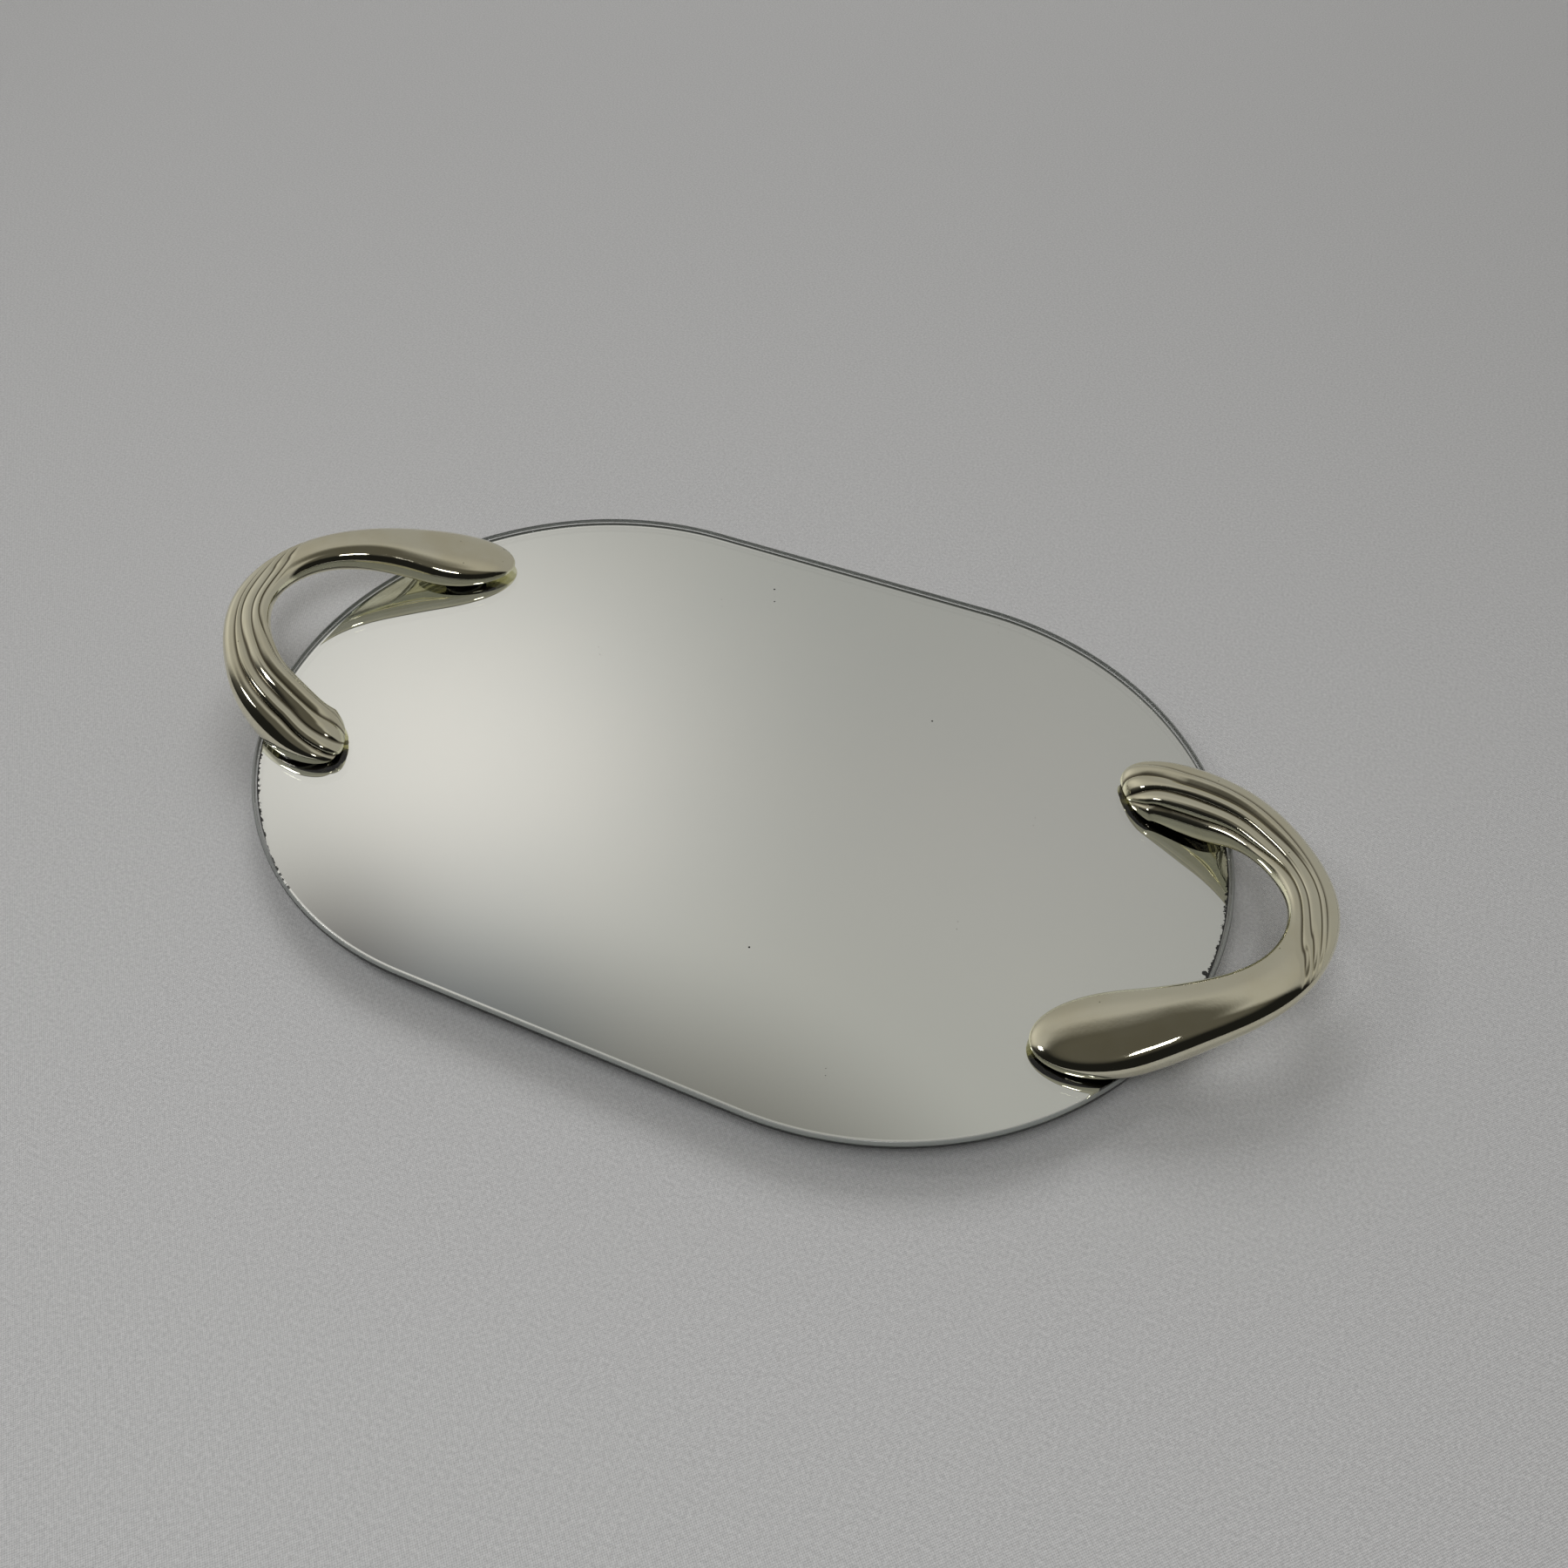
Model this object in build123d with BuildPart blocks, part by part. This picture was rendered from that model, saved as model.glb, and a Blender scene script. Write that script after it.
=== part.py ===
from build123d import *

import math
import os

os.makedirs("parts", exist_ok=True)

# Vanity tray: a mirror plate on four rubber feet, with a swept metal handle at each end.
# All sizes are in millimetres. The origin is the middle of the tray on the surface it
# stands on, X runs along its length from the left handle to the right, Y runs from the
# front to the back and Z is up.

# Mirror plate: a 12 x 8 inch stadium of eighth-inch glass, silvered and painted underneath
PLATE_LENGTH = 304.8
PLATE_WIDTH = 203.2
GLASS_THICKNESS = 3.2
GLASS_EDGE_RADIUS = 1.5
SILVER_THICKNESS = 0.1
PAINT_THICKNESS = 0.2

# Fixings: one M4 screw at each end of each handle, from below
SCREW_SPACING_X = 251.0
SCREW_SPACING_Y = 88.9
SCREW_RADIUS = 2.0
SCREW_LENGTH = 12.0
SCREW_HEAD_RADIUS = 4.0
SCREW_HEAD_HEIGHT = 2.8
SCREW_HEAD_EDGE = 1.0
CROSS_LENGTH = 4.4
CROSS_WIDTH = 1.0
CROSS_DEPTH = 1.6
THREAD_PLAY = 0.05
WASHER_RADIUS = 4.5
WASHER_THICKNESS = 0.8
WASHER_BORE_RADIUS = 2.15

# Plastic and rubber pieces around each screw
GLASS_HOLE_RADIUS = 3.25
SLEEVE_PLAY = 0.1
SLEEVE_BORE_RADIUS = 2.15
GASKET_RADIUS = 7.0
GASKET_THICKNESS = 0.5
FOOT_RADIUS = 9.0
FOOT_HEIGHT = 7.0
FOOT_TAPER = 6.0
FOOT_EDGE_RADIUS = 0.8
FOOT_BORE_RADIUS = 2.3
COUNTERBORE_RADIUS = 4.75
COUNTERBORE_DEPTH = 4.2

# Where both handles sit: a little behind the middle and turned, as they were drilled
HANDLE_SLIP = 1.3
HANDLE_TURN = 1.2

# Heights of the layers above the table
SILVER_BOTTOM = FOOT_HEIGHT + PAINT_THICKNESS
GLASS_BOTTOM = SILVER_BOTTOM + SILVER_THICKNESS
GLASS_TOP = GLASS_BOTTOM + GLASS_THICKNESS
HANDLE_BASE = GLASS_TOP + GASKET_THICKNESS

# Handle shape, in its own frame: x outwards from the line through its two screws, y from
# the smooth foot to the ribbed foot, z up from its flat base. Each row steers a smooth
# curve: x, y and z of the arm's middle, then its half width and its half height.
HANDLE_STATIONS = [
    (-11.0, 37.0, -2.0, 11.0, 5.0),  # tip of the ribbed foot
    (-3.0, 42.5, 1.0, 10.5, 6.5),
    (15.0, 37.0, 4.0, 11.0, 8.5),
    (28.0, 30.5, 10.0, 8.0, 4.5),
    (48.5, 8.0, 13.0, 6.5, 3.0),  # furthest out
    (43.0, -21.0, 12.5, 6.5, 4.0),
    (21.0, -37.5, 8.0, 9.0, 6.0),
    (6.0, -45.0, 2.0, 12.5, 6.0),
    (-15.0, -55.0, 0.0, 13.5, 5.0),  # tip of the smooth foot
]
RIBBED_TIP_ROUNDING = 0.7
SMOOTH_TIP_ROUNDING = 1.45
TIP_BLUNTNESS = 2.5
SECTION_SQUARENESS = 2.5  # exponent of the arm's outline: 2 is an ellipse, more is squarer
TAPPED_HOLE_DEPTH = 6.2

# Four grooves run from the ribbed foot and fade out past the middle of the handle. Each
# row: the angle round the arm at the tip, along the foot and at the neck, and the station
# the groove ends at.
GROOVES = [
    (0.0, 68.0, 71.0, 4.74),
    (58.0, 90.0, 83.0, 4.84),
    (98.0, 112.0, 105.0, 4.92),
    (115.0, 157.0, 126.0, 5.03),
]
GROOVE_DEPTH = 0.14
GROOVE_REACH = 20.0
GROOVE_FADE = 0.25
GROOVE_TIP = 1.5
GROOVE_TIP_EASE = 1.6
GROOVE_NECK = (3.0, 3.8)
GROOVE_SWEEP_START = 4.0
GROOVE_SWEEP_ANGLE = 27.0
GROOVE_SWEEP_EASE = 2.5
SECTION_POINTS = 72
SECTION_STEPS = [index / SECTION_POINTS for index in range(SECTION_POINTS + 1)]


def smooth_step(value, low, high):
    """0 below low, 1 above high and a smooth rise between them."""
    share = min(max((value - low) / (high - low), 0.0), 1.0)
    return share * share * (3.0 - 2.0 * share)


def steered(position):
    """Middle, half width and half height of the handle at a station position (cubic B-spline)."""
    before = [2 * a - b for a, b in zip(HANDLE_STATIONS[0], HANDLE_STATIONS[1])]
    after = [2 * a - b for a, b in zip(HANDLE_STATIONS[-1], HANDLE_STATIONS[-2])]
    rows = [before, *HANDLE_STATIONS, after]
    first = min(int(position), len(HANDLE_STATIONS) - 2)
    t = position - first
    weights = ((1 - t) ** 3, 3 * t**3 - 6 * t**2 + 4, -3 * t**3 + 3 * t**2 + 3 * t + 1, t**3)
    x, y, z, half_width, half_height = (
        sum(weight * row[column] for weight, row in zip(weights, rows[first:])) / 6 for column in range(5)
    )
    return Vector(x, y, z), half_width, half_height


def tip_rounding(position):
    """1 along the handle, falling to 0 at both tips so that they end round."""
    from_tips = (
        position / RIBBED_TIP_ROUNDING,
        (len(HANDLE_STATIONS) - 1 - position) / SMOOTH_TIP_ROUNDING,
    )
    share = min(1.0, *from_tips)
    return math.sqrt(1.0 - (1.0 - share) ** TIP_BLUNTNESS)


def groove_angles(position):
    """Angles of the grooves round the arm: 0 is outwards, 90 is up and 180 is inwards."""
    tip = max(1.0 - position / GROOVE_TIP, 0.0) ** GROOVE_TIP_EASE
    neck = smooth_step(position, *GROOVE_NECK)
    angles = []
    for tip_angle, foot_angle, neck_angle, end in GROOVES:
        angle = foot_angle + (tip_angle - foot_angle) * tip + (neck_angle - foot_angle) * neck
        swept = max(position - GROOVE_SWEEP_START, 0.0) / (end - GROOVE_SWEEP_START)
        angles.append(angle - (angle - GROOVE_SWEEP_ANGLE) * min(swept, 1.0) ** GROOVE_SWEEP_EASE)
    return angles


def groove_cut(position, angle):
    """How far the grooves reach into the arm there, as a share of its half width."""
    angles = groove_angles(position)
    depth = 0.0
    for index, (middle, (*_, end)) in enumerate(zip(angles, GROOVES)):
        neighbour = index - 1 if angle < middle else index + 1
        reach = GROOVE_REACH
        if 0 <= neighbour < len(angles):
            reach = max(abs(angles[neighbour] - middle) / 2, 1.0)
        share = min(abs(angle - middle) / reach, 1.0)
        fade = 1.0 - smooth_step(position, end - GROOVE_FADE, end)
        depth = max(depth, GROOVE_DEPTH * fade * (1.0 - math.sin(share * math.pi / 2)))
    return depth


def section_plane(position):
    """Plane across the arm, with x pointing out of the handle's bend and y pointing down."""
    step = 0.01
    last = len(HANDLE_STATIONS) - 1
    middle = steered(position)[0]
    along = steered(min(position + step, last))[0] - steered(max(position - step, 0.0))[0]
    return Plane(origin=middle, x_dir=(-along.Y, along.X, 0), z_dir=-along)


def squared(value):
    """A cosine or sine, pushed outwards so that the arm's outline is a little square."""
    return math.copysign(abs(value) ** (2.0 / SECTION_SQUARENESS), value)


def section_points(position):
    """Points round the arm's outline in its section plane."""
    _, half_width, half_height = steered(position)
    rounding = tip_rounding(position)
    points = []
    for index in range(SECTION_POINTS):
        angle = 360.0 * (1.0 - index / SECTION_POINTS)
        size = rounding * (1.0 - groove_cut(position, angle))
        x = half_width * size * squared(math.cos(math.radians(angle)))
        y = -half_height * size * squared(math.sin(math.radians(angle)))
        points.append((x, y))
    return points


def section_positions():
    """Stations to draw sections at: close together where a tip rounds off."""
    last = len(HANDLE_STATIONS) - 1
    tip_sizes = (0.15, 0.45, 0.7, 0.88, 0.98)
    shares = [1.0 - (1.0 - size**2) ** (1.0 / TIP_BLUNTNESS) for size in tip_sizes]
    ribbed = [RIBBED_TIP_ROUNDING * share for share in shares]
    smooth = [last - SMOOTH_TIP_ROUNDING * share for share in reversed(shares)]
    steps = 22
    low = RIBBED_TIP_ROUNDING
    high = last - SMOOTH_TIP_ROUNDING
    return ribbed + [low + (high - low) * index / steps for index in range(steps + 1)] + smooth


def handle_frame(side):
    """Frame of the right (1) or left (-1) handle, at the middle of its screws on its base."""
    turn = math.radians(HANDLE_TURN)
    return Plane(
        origin=(side * SCREW_SPACING_X / 2, HANDLE_SLIP, HANDLE_BASE),
        x_dir=(side * math.cos(turn), math.sin(turn), 0),
        z_dir=(0, 0, 1),
    )


def screw_point(side, end):
    """Where the screw at the ribbed (1) or smooth (-1) foot of a handle meets its base."""
    return handle_frame(side).from_local_coords((0, end * SCREW_SPACING_Y / 2, 0))


def level_plane(point, height):
    """Level plane through a point's x and y at a height."""
    return Plane(origin=(point.X, point.Y, height))


def save(part, name):
    """Names a piece and writes it to its own file."""
    part.label = name
    export_step(part, f"parts/{name}.step")


SCREW_POINTS = {
    "back_right": screw_point(1, 1),
    "front_right": screw_point(1, -1),
    "front_left": screw_point(-1, 1),
    "back_left": screw_point(-1, -1),
}
SCREW_PLACES = [(point.X, point.Y) for point in SCREW_POINTS.values()]


def build_layer(name, bottom, thickness, inset):
    """A flat layer under the glass, with the holes for the screws."""
    with BuildPart() as layer:
        with BuildSketch(Plane.XY.offset(bottom)):
            SlotOverall(PLATE_LENGTH - 2 * inset, PLATE_WIDTH - 2 * inset)
            with Locations(*SCREW_PLACES):
                Circle(GLASS_HOLE_RADIUS, mode=Mode.SUBTRACT)
        extrude(amount=thickness)
    save(layer.part, name)


# Mirror glass, with its edge ground round
with BuildPart() as mirror_glass:
    with BuildSketch(Plane.XY.offset(GLASS_BOTTOM)):
        SlotOverall(PLATE_LENGTH, PLATE_WIDTH)
    extrude(amount=GLASS_THICKNESS)
    fillet(mirror_glass.faces().filter_by(Axis.Z).edges(), radius=GLASS_EDGE_RADIUS)
    with BuildSketch(Plane.XY.offset(GLASS_BOTTOM)):
        with Locations(*SCREW_PLACES):
            Circle(GLASS_HOLE_RADIUS)
    extrude(amount=GLASS_THICKNESS, mode=Mode.SUBTRACT)
save(mirror_glass.part, "mirror_glass")

# Silver layer and the paint that protects it, on the flat back of the glass
build_layer("mirror_silvering", SILVER_BOTTOM, SILVER_THICKNESS, GLASS_EDGE_RADIUS)
build_layer("mirror_backing_paint", FOOT_HEIGHT, PAINT_THICKNESS, GLASS_EDGE_RADIUS)

# Handle, cast in one piece and cut flat underneath, with a tapped hole in each foot
with BuildPart() as handle:
    for position in section_positions():
        with BuildSketch(section_plane(position)):
            with BuildLine():
                add(Edge.make_spline(section_points(position), periodic=True, parameters=SECTION_STEPS))
            make_face()
    loft()
    split(bisect_by=Plane.XY, keep=Keep.TOP)
    with BuildSketch(Plane.XY):
        with GridLocations(0, SCREW_SPACING_Y, 1, 2):
            Circle(SCREW_RADIUS + THREAD_PLAY)
    extrude(amount=TAPPED_HOLE_DEPTH, mode=Mode.SUBTRACT)

for side, name in ((1, "right_handle"), (-1, "left_handle")):
    save(handle.part.moved(handle_frame(side).location), name)


def build_foot(name, point):
    """Tapered rubber foot with a counterbore that hides the screw head."""
    with BuildPart() as foot:
        with BuildSketch(level_plane(point, FOOT_HEIGHT)):
            Circle(FOOT_RADIUS)
        extrude(amount=-FOOT_HEIGHT, taper=FOOT_TAPER)
        fillet(foot.faces().sort_by(Axis.Z)[0].edges(), radius=FOOT_EDGE_RADIUS)
        with BuildSketch(level_plane(point, 0)):
            Circle(FOOT_BORE_RADIUS)
        extrude(amount=FOOT_HEIGHT, mode=Mode.SUBTRACT)
        with BuildSketch(level_plane(point, 0)):
            Circle(COUNTERBORE_RADIUS)
        extrude(amount=COUNTERBORE_DEPTH, mode=Mode.SUBTRACT)
    save(foot.part, name)


def build_ring(name, points, bottom, height, radius, bore_radius):
    """The same plain ring at each of some points."""
    with BuildPart() as rings:
        with BuildSketch(Plane.XY.offset(bottom)):
            with Locations(*[(point.X, point.Y) for point in points]):
                Circle(radius)
                Circle(bore_radius, mode=Mode.SUBTRACT)
        extrude(amount=height)
    save(rings.part, name)


# Rubber feet, sleeves that keep the screws off the glass, and pads under the handles
SLEEVE_HEIGHT = GLASS_TOP - FOOT_HEIGHT
for place, point in SCREW_POINTS.items():
    build_foot(f"foot_{place}", point)
    build_ring(f"sleeve_{place}", [point], FOOT_HEIGHT, SLEEVE_HEIGHT,
               GLASS_HOLE_RADIUS - SLEEVE_PLAY, SLEEVE_BORE_RADIUS)
    build_ring(f"gasket_{place}", [point], GLASS_TOP, GASKET_THICKNESS, GASKET_RADIUS, SLEEVE_BORE_RADIUS)

# Steel washers, up inside the feet
WASHER_BOTTOM = COUNTERBORE_DEPTH - WASHER_THICKNESS
build_ring("screw_washers", SCREW_POINTS.values(), WASHER_BOTTOM, WASHER_THICKNESS,
           WASHER_RADIUS, WASHER_BORE_RADIUS)

# Pan-head screws with a cross recess
HEAD_BOTTOM = WASHER_BOTTOM - SCREW_HEAD_HEIGHT
with BuildPart() as handle_screws:
    with BuildSketch(Plane.XY.offset(HEAD_BOTTOM)):
        with Locations(*SCREW_PLACES):
            Circle(SCREW_HEAD_RADIUS)
    extrude(amount=SCREW_HEAD_HEIGHT)
    fillet(handle_screws.faces().group_by(Axis.Z)[0].edges(), radius=SCREW_HEAD_EDGE)
    with BuildSketch(Plane.XY.offset(HEAD_BOTTOM)):
        with Locations(*SCREW_PLACES):
            Rectangle(CROSS_LENGTH, CROSS_WIDTH)
            Rectangle(CROSS_WIDTH, CROSS_LENGTH)
    extrude(amount=CROSS_DEPTH, mode=Mode.SUBTRACT)
    with BuildSketch(Plane.XY.offset(WASHER_BOTTOM)):
        with Locations(*SCREW_PLACES):
            Circle(SCREW_RADIUS)
    extrude(amount=SCREW_LENGTH)
save(handle_screws.part, "handle_screws")
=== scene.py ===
import math

import bmesh
import bpy
import numpy as np
from mathutils import Matrix, Quaternion, Vector


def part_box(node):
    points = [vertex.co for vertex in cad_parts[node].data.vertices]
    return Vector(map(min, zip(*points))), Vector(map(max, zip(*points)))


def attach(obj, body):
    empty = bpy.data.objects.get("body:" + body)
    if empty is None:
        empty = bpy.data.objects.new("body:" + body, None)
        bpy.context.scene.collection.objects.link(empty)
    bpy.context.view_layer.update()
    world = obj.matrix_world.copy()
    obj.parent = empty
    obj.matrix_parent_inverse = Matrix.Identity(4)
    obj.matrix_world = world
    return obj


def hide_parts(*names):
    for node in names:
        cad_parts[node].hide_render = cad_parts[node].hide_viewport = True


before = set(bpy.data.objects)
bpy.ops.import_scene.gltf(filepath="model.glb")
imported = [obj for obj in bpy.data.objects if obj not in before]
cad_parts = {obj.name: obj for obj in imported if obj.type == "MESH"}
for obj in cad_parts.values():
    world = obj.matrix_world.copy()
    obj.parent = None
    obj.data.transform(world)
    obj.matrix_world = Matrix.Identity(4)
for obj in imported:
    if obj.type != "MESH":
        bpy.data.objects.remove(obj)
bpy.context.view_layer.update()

# Vanity tray: the handles and the mirror plate are rebuilt as fine meshes around the CAD
# frame, and the small fixings keep their CAD shapes. Lengths are in metres.
MM = 0.001

# Mirror plate
GLASS_EDGE_RADIUS = 1.5 * MM
SLEEVE_PLAY = 0.1 * MM
SILVER_BOND = 0.01 * MM  # the silver reaches this far into the glass, so no air shows between them
ARC_STEPS = 240
EDGE_STEPS = 12
HOLE_STEPS = 64

# Handle shape in millimetres, in its own frame: x outwards from the line through its two
# screws, y from the smooth foot to the ribbed foot, z up from its flat base. Each row
# steers a smooth curve: x, y and z of the arm's middle, its half width and half height.
HANDLE_STATIONS = [
    (-11.0, 37.0, -2.0, 11.0, 5.0),  # tip of the ribbed foot
    (-3.0, 42.5, 1.0, 10.5, 6.5),
    (15.0, 37.0, 4.0, 11.0, 8.5),
    (28.0, 30.5, 10.0, 8.0, 4.5),
    (48.5, 8.0, 13.0, 6.5, 3.0),  # furthest out
    (43.0, -21.0, 12.5, 6.5, 4.0),
    (21.0, -37.5, 8.0, 9.0, 6.0),
    (6.0, -45.0, 2.0, 12.5, 6.0),
    (-15.0, -55.0, 0.0, 13.5, 5.0),  # tip of the smooth foot
]
LAST_STATION = len(HANDLE_STATIONS) - 1
RIBBED_TIP_ROUNDING = 0.7  # stations over which each tip rounds off
SMOOTH_TIP_ROUNDING = 1.45
TIP_BLUNTNESS = 2.5
SECTION_SQUARENESS = 2.5  # exponent of the arm's outline: 2 is an ellipse, more is squarer
SCREW_HOLE_RADIUS = 2.05 * MM
SCREW_HOLE_DEPTH = 6.2 * MM

# Grooves: the angle round the arm at the tip, along the foot and at the neck (0 is
# outwards, 90 is up), and the station where each one fades out
GROOVES = [
    (0.0, 68.0, 71.0, 4.74),
    (58.0, 90.0, 83.0, 4.84),
    (98.0, 112.0, 105.0, 4.92),
    (115.0, 157.0, 126.0, 5.03),
]
GROOVE_DEPTH = 0.14  # share of the arm's size
GROOVE_REACH = 20.0  # degrees, on the open side of the first and the last groove
GROOVE_FADE = 0.25  # stations
GROOVE_TIP = 1.5  # stations over which the angles at the tip turn into those along the foot
GROOVE_TIP_EASE = 1.6
GROOVE_NECK = (3.0, 3.8)
GROOVE_SWEEP_START = 4.0  # station from which all grooves sweep to one angle
GROOVE_SWEEP_ANGLE = 27.0
GROOVE_SWEEP_EASE = 2.5

# Fineness of the handle's mesh
TIP_STEPS = 40
ARM_STEPS = 260
FACE_STEPS = (56, 30, 30, 36, 190)  # from outwards, between the grooves, and round underneath
FACE_GAP = 2.0
SLOPE_STEP = 0.01  # in stations
CUT_NEARNESS = 0.00001 * MM
RIM_NEARNESS = 0.003 * MM

# Camera, at the photograph's viewing angle
CAMERA_PLACE = Vector((121.8, -231.3, 312.8)) * MM
CAMERA_TARGET = Vector((18.1, 1.5, 10.5)) * MM
CAMERA_ROLL = math.radians(-0.40)
CAMERA_LENS = 30.0
CAMERA_SENSOR = 36.0
CAMERA_CLIP = 10 * MM

# Colours of the materials, as shares of red, green and blue
PALE_GOLD = (0.83, 0.80, 0.64)
DEEP_GOLD = (0.78, 0.735, 0.555)
# Near-black colour at the bottom of the grooves
GROOVE_BOTTOM_DARK = (0.14, 0.12, 0.08)
PIT = (0.20, 0.18, 0.13)
CLEAR_GLASS = (0.975, 0.988, 0.978)
# Edge glass: the glass's own dark edge tint, darkened further as painted shade. Frosted glass: pale ground
# glass, put only on the edge's upper part as painted light.
EDGE_GLASS_PAINTED_SHADE = (0.035, 0.042, 0.040)
FROSTED_GLASS_PAINTED_LIGHT = (0.62, 0.64, 0.62)
GLASS_DUST = (0.16, 0.15, 0.13)
SILVER = (0.90, 0.915, 0.885)
CLOUDED_SILVER = (0.885, 0.905, 0.88)
LOST_SILVER = (0.02, 0.02, 0.02)
PAINT = (0.155, 0.165, 0.160)
FADED_PAINT = (0.205, 0.212, 0.200)
SCUFFED_PAINT = (0.34, 0.345, 0.33)
RUBBER = ((0.022, 0.022, 0.023), (0.045, 0.044, 0.043))
NYLON = ((0.62, 0.61, 0.56), (0.72, 0.71, 0.66))
VINYL = ((0.050, 0.050, 0.048), (0.085, 0.085, 0.080))
FIXING_DUST = (0.42, 0.41, 0.39)
ZINC = (0.56, 0.57, 0.58)
DULL_ZINC = (0.40, 0.41, 0.43)
CLOTH = ((0.60, 0.60, 0.605), (0.80, 0.80, 0.805))

GLASS_IOR = 1.52

# Lost silver: which end, the middle and half span in degrees from that end's point, and depth
WORN_ENDS = [
    (-1, -39.0, 14.0, 1.2 * MM),
    (1, 6.0, 20.0, 1.1 * MM),
]
# Small spots without silver, in millimetres: x, y and radius
LOST_SPOTS = [
    (149.0, -13.0, 0.8),
    (-21.1, 82.5, 0.35),
    (-18.5, 76.8, 0.30),
    (32.3, -54.7, 0.30),
    (50.1, 45.4, 0.30),
]

# Floor, a hair below the feet so that they show from below
FLOOR_SIZE = 1.2
FLOOR_DROP = 0.05 * MM
WEAVE_PITCH = 0.7 * MM
UNDERSIDE_LIGHT = 0.8

# Studio surroundings: a pale wall round the back and the left, lit up to a sloping height,
# a dim ceiling and a dark room behind the camera. A reach or height gives where the change
# starts and ends.
WALL_MIDDLE = 10
WALL_REACH = (-0.05, 0.15)
WALL_SLOPE = (-0.23, 0.0, 1.0)
WALL_HEIGHT = (0.98, 0.895)
WALL_TONE = (0.325, 0.320, 0.305)
CEILING_TONE = (0.095, 0.090, 0.075)
ROOM_TONE = (0.012, 0.012, 0.011)
ROOM_HEIGHT = (0.74, 0.93)

# What the plate shows away from the part of the sky that it mirrors at the photograph's
# angle, and the backdrop beyond the floor
SEEN_FROM = (20, 55)  # azimuth and elevation of the middle of that part
SEEN_REACH = (0.88, 0.75)
SIDE_TONE = (0.20, 0.20, 0.19)
BACKDROP_TONE = (0.34, 0.34, 0.34)

# Bright patches on the wall: azimuth, elevation, spread, tone and how much of it shows in
# the handles. The first two are screened from the handles, and the last two, which only the
# plate shows, are black screens that take light away.
PATCHES = [
    (45.4, 46.9, 8, (0.44, 0.407, 0.391), 0.14),
    (8, 51, 7, (0.061, 0.05, 0.05), 0.15),
    (78, 24, 14, (0.30, 0.29, 0.27), 1.0),
    (57, 52.4, 2.9, (-0.30, -0.295, -0.285), 0.0),
    (49.8, 56.9, 4.3, (-0.24, -0.217, -0.19), 0.0),
]

# Soft boxes: azimuth, elevation, distance, width, height and power. The broad ones light
# the tray but don't show in it.
LAMPS = [
    (104, 46, 1.1, 0.16, 0.16, 0.7),
    (-150, 63, 1.1, 0.16, 0.12, 0.5),
]
BROAD_LAMPS = [
    (25, 42, 2.2, 1.2, 0.9, 11.0),
    (-170, 62, 0.8, 0.4, 0.4, 1.3),
]


# ---------------------------------------------------------------- node graphs


class Graph:
    """A material's or world's node tree, built up by short calls."""

    def __init__(self, tree):
        self.tree = tree
        tree.nodes.clear()

    def add(self, kind, inputs=None, **settings):
        """Adds a node. An input that is a socket is joined, and any other is set."""
        node = self.tree.nodes.new("ShaderNode" + kind)
        for name, value in settings.items():
            setattr(node, name, value)
        for name, value in (inputs or {}).items():
            self.feed(node.inputs[name], value)
        return node

    def feed(self, socket, value):
        """Joins or sets one input."""
        if isinstance(value, bpy.types.NodeSocket):
            self.tree.links.new(value, socket)
        elif isinstance(value, tuple) and len(value) == 3 and socket.type == "RGBA":
            socket.default_value = (*value, 1.0)
        else:
            socket.default_value = value

    def math(self, operation, *values):
        """One sum on numbers."""
        return self.add("Math", dict(enumerate(values)), operation=operation).outputs[0]

    def vector(self, operation, *values):
        """One sum on vectors."""
        node = self.add("VectorMath", dict(enumerate(values)), operation=operation)
        return node.outputs["Value"] if operation in ("DOT_PRODUCT", "LENGTH") else node.outputs[0]

    def scaled(self, vector, factor):
        """A vector times a number."""
        return self.add("VectorMath", {0: vector, "Scale": factor}, operation="SCALE").outputs[0]

    def blend(self, share, low, high):
        """Colour from low to high."""
        return self.add("Mix", {0: share, 6: low, 7: high}, data_type="RGBA").outputs[2]

    def spread(self, value, low, high, new_low=0.0, new_high=1.0):
        """Smoothly maps low..high to new_low..new_high, and holds beyond both."""
        inputs = {"Value": value, "From Min": low, "From Max": high, "To Min": new_low, "To Max": new_high}
        return self.add("MapRange", inputs, interpolation_type="SMOOTHSTEP").outputs[0]

    def noise(self, place, size, detail=3.0, roughness=0.55):
        """Soft noise with features of about a size in metres."""
        inputs = {"Vector": place, "Scale": 1.0 / size, "Detail": detail, "Roughness": roughness}
        return self.add("TexNoise", inputs).outputs[0]

    def specks(self, place, size, radius, share):
        """1 in round specks of a radius, in a share of cells of a size, and 0 elsewhere."""
        cells = self.add("TexVoronoi", {"Vector": place, "Scale": 1.0 / size})
        near = self.spread(cells.outputs["Distance"], radius / size, 0.6 * radius / size)
        chosen = self.add("SeparateColor", {0: cells.outputs["Color"]}).outputs[0]
        return self.math("MULTIPLY", near, self.math("LESS_THAN", chosen, share))

    def bump(self, height, distance, normal=None):
        """Normal of a surface raised by a height of 0 to 1 times a distance."""
        inputs = {"Height": height, "Distance": distance}
        if normal is not None:
            inputs["Normal"] = normal
        return self.add("Bump", inputs).outputs[0]

    def own_place(self):
        """Place in the piece's own frame."""
        return self.add("TexCoord").outputs["Object"]

    def finish(self, shader, output="OutputMaterial"):
        """Joins a shader node to the output."""
        self.add(output, {"Surface": shader.outputs[0]})

    def mixed(self, share, first, second):
        """Mix of two shader nodes, as a shader node."""
        return self.add("MixShader", {0: share, 1: first.outputs[0], 2: second.outputs[0]})


def new_material(name):
    """An empty node material and its graph."""
    material = bpy.data.materials.new(name)
    material.use_nodes = True
    return material, Graph(material.node_tree)


# ------------------------------------------------------------------ materials


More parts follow.
